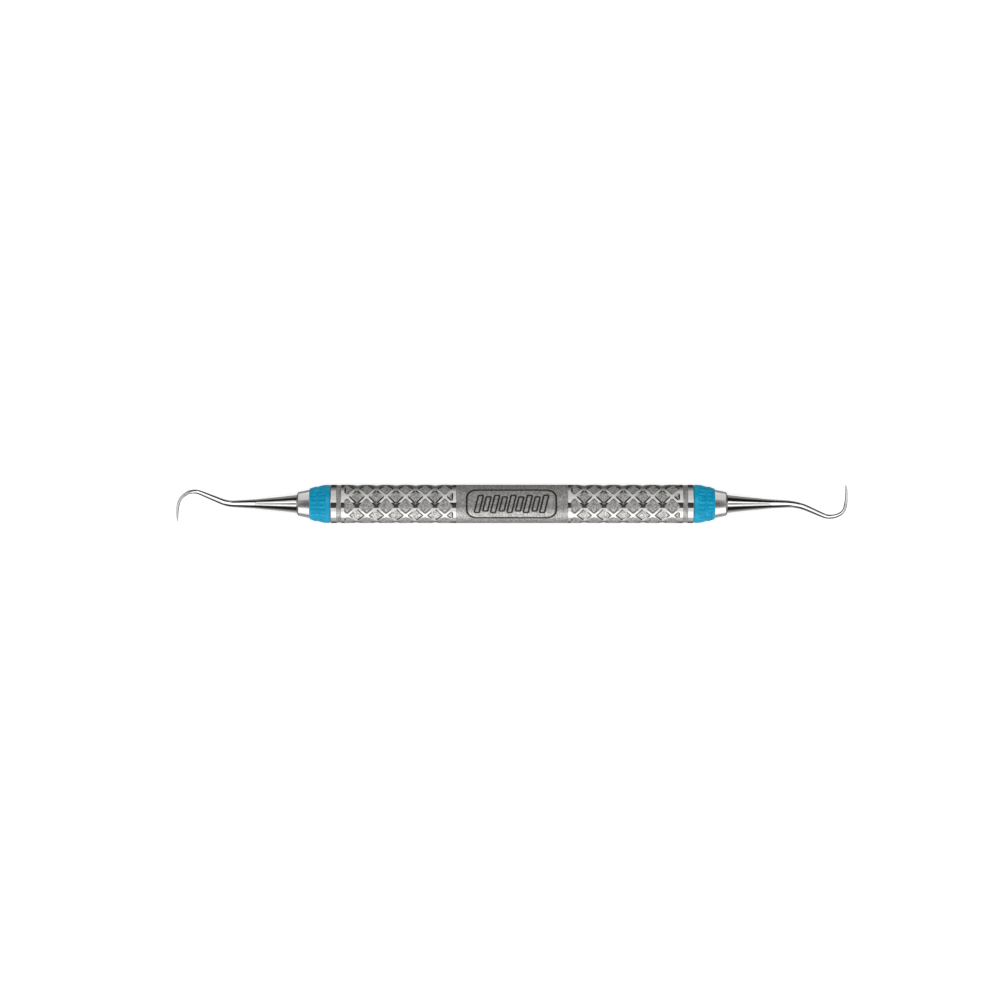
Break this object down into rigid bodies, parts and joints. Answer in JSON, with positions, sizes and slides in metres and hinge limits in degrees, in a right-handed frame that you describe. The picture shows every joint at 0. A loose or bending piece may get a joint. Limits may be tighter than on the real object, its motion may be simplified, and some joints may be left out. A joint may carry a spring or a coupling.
{
  "type": "double-ended hand scaler",
  "caption": "Hollow knurled steel handle with a soft colour ring, tapered nose and curved pointed scaling blade at each end, for removing deposits from teeth.",
  "frame": {"origin": "on the handle's axis at its mid-length, which is also the centre of the overall box", "axes": "+X along the handle towards the right working end, +Y in the plane of both hooks towards the right blade's tip, +Z out of the panel on the centre band"},
  "size_m": [0.1667, 0.0094, 0.0094],
  "materials": {
    "handle_steel": "bead-blasted grey with polished raised lines and bands",
    "left_nose_steel": "satin turned steel",
    "right_nose_steel": "satin turned steel",
    "left_ring_silicone": "satin blue silicone",
    "right_ring_silicone": "satin blue silicone",
    "left_shank_steel": "mirror polished",
    "right_shank_steel": "mirror polished"
  },
  "bodies": {
    "handle": {"handle_tube": "handle_steel", "left_nose_cone": "left_nose_steel", "right_nose_cone": "right_nose_steel", "left_working_end": "left_shank_steel", "right_working_end": "right_shank_steel"},
    "left_ring": {"left_grip_ring": "left_ring_silicone"},
    "right_ring": {"right_grip_ring": "right_ring_silicone"}
  },
  "joints": [
    {"name": "left_ring_slide", "type": "slide", "parent": "handle", "child": "left_ring", "axis": [-1, 0, 0], "range_m": [0, 0.02]},
    {"name": "right_ring_slide", "type": "slide", "parent": "handle", "child": "right_ring", "axis": [1, 0, 0], "range_m": [0, 0.02]}
  ]
}
